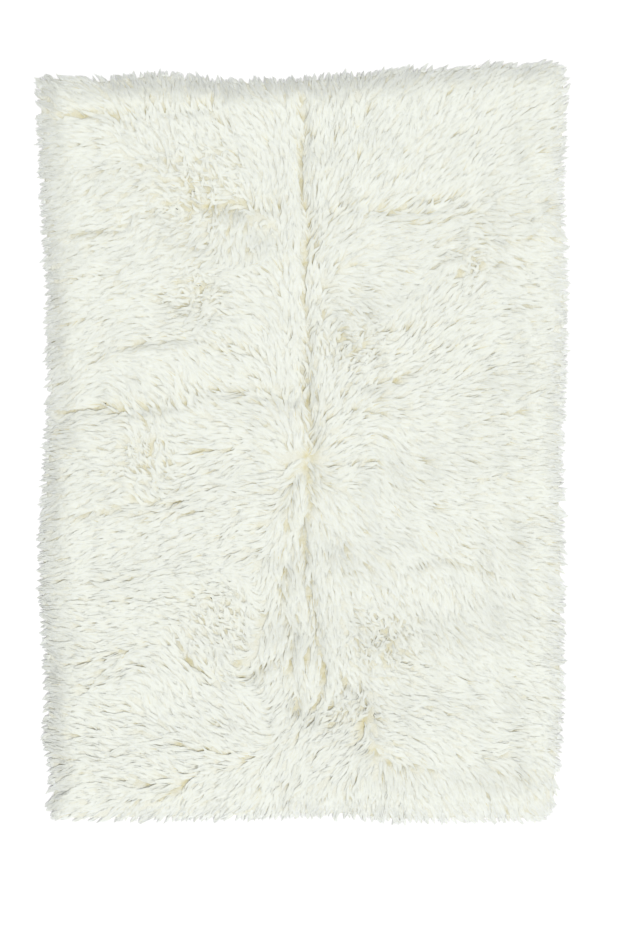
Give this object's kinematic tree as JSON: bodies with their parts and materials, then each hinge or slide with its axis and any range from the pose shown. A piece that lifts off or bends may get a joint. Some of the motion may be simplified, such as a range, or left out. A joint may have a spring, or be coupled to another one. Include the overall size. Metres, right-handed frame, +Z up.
{
  "type": "flokati rug",
  "caption": "Rectangular long-pile wool shag rug lying flat, off-white, with combed pile, partings in the pile and pointed locks round the rim.",
  "frame": {"origin": "middle of the rug, on its underside", "axes": "+Y along the rug's length, towards the top of the picture; +X along its width; +Z up out of the pile"},
  "size_m": [1.4306, 2.0494, 0.0542],
  "materials": {
    "wool": "undyed off-white wool in long, loosely twisted, pointed locks; matt, with a soft sheen"
  },
  "bodies": {
    "root": {"flokati_rug": "wool"}
  },
  "joints": []
}
